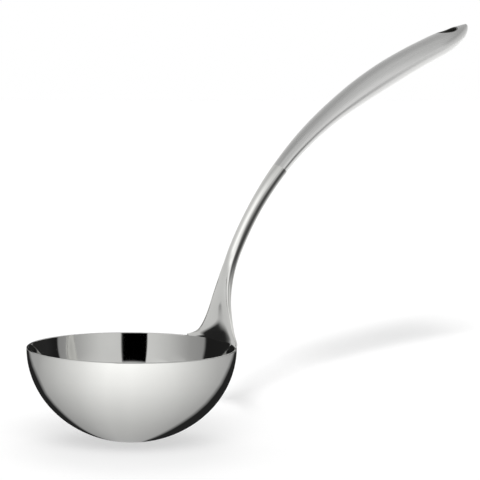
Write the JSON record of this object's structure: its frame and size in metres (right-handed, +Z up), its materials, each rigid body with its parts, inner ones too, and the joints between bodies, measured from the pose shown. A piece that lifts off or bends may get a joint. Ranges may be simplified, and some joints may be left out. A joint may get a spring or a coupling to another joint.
{
  "type": "soup ladle",
  "caption": "Stainless steel soup ladle: deep round bowl, neck that flares onto the rim, and a hollow curved grip with a hanging hole near its tip.",
  "frame": {"origin": "lowest point of the bowl, on the bowl's axis, where the ladle touches what it stands on", "axes": "+Z up along the bowl's axis, out of its mouth; +X from the bowl towards the handle's tip; Y = 0 is the plane of symmetry"},
  "size_m": [0.248, 0.104, 0.2098],
  "materials": {
    "polished_steel": "mirror polished stainless steel",
    "satin_steel": "satin brushed stainless steel"
  },
  "bodies": {
    "root": {"bowl": "polished_steel", "neck": "polished_steel", "grip_upper_shell": "satin_steel", "grip_lower_shell": "satin_steel", "hanging_sleeve": "satin_steel", "bowl_weld": "polished_steel", "neck_weld": "polished_steel", "seam_weld": "satin_steel", "sleeve_welds": "satin_steel"}
  },
  "joints": []
}
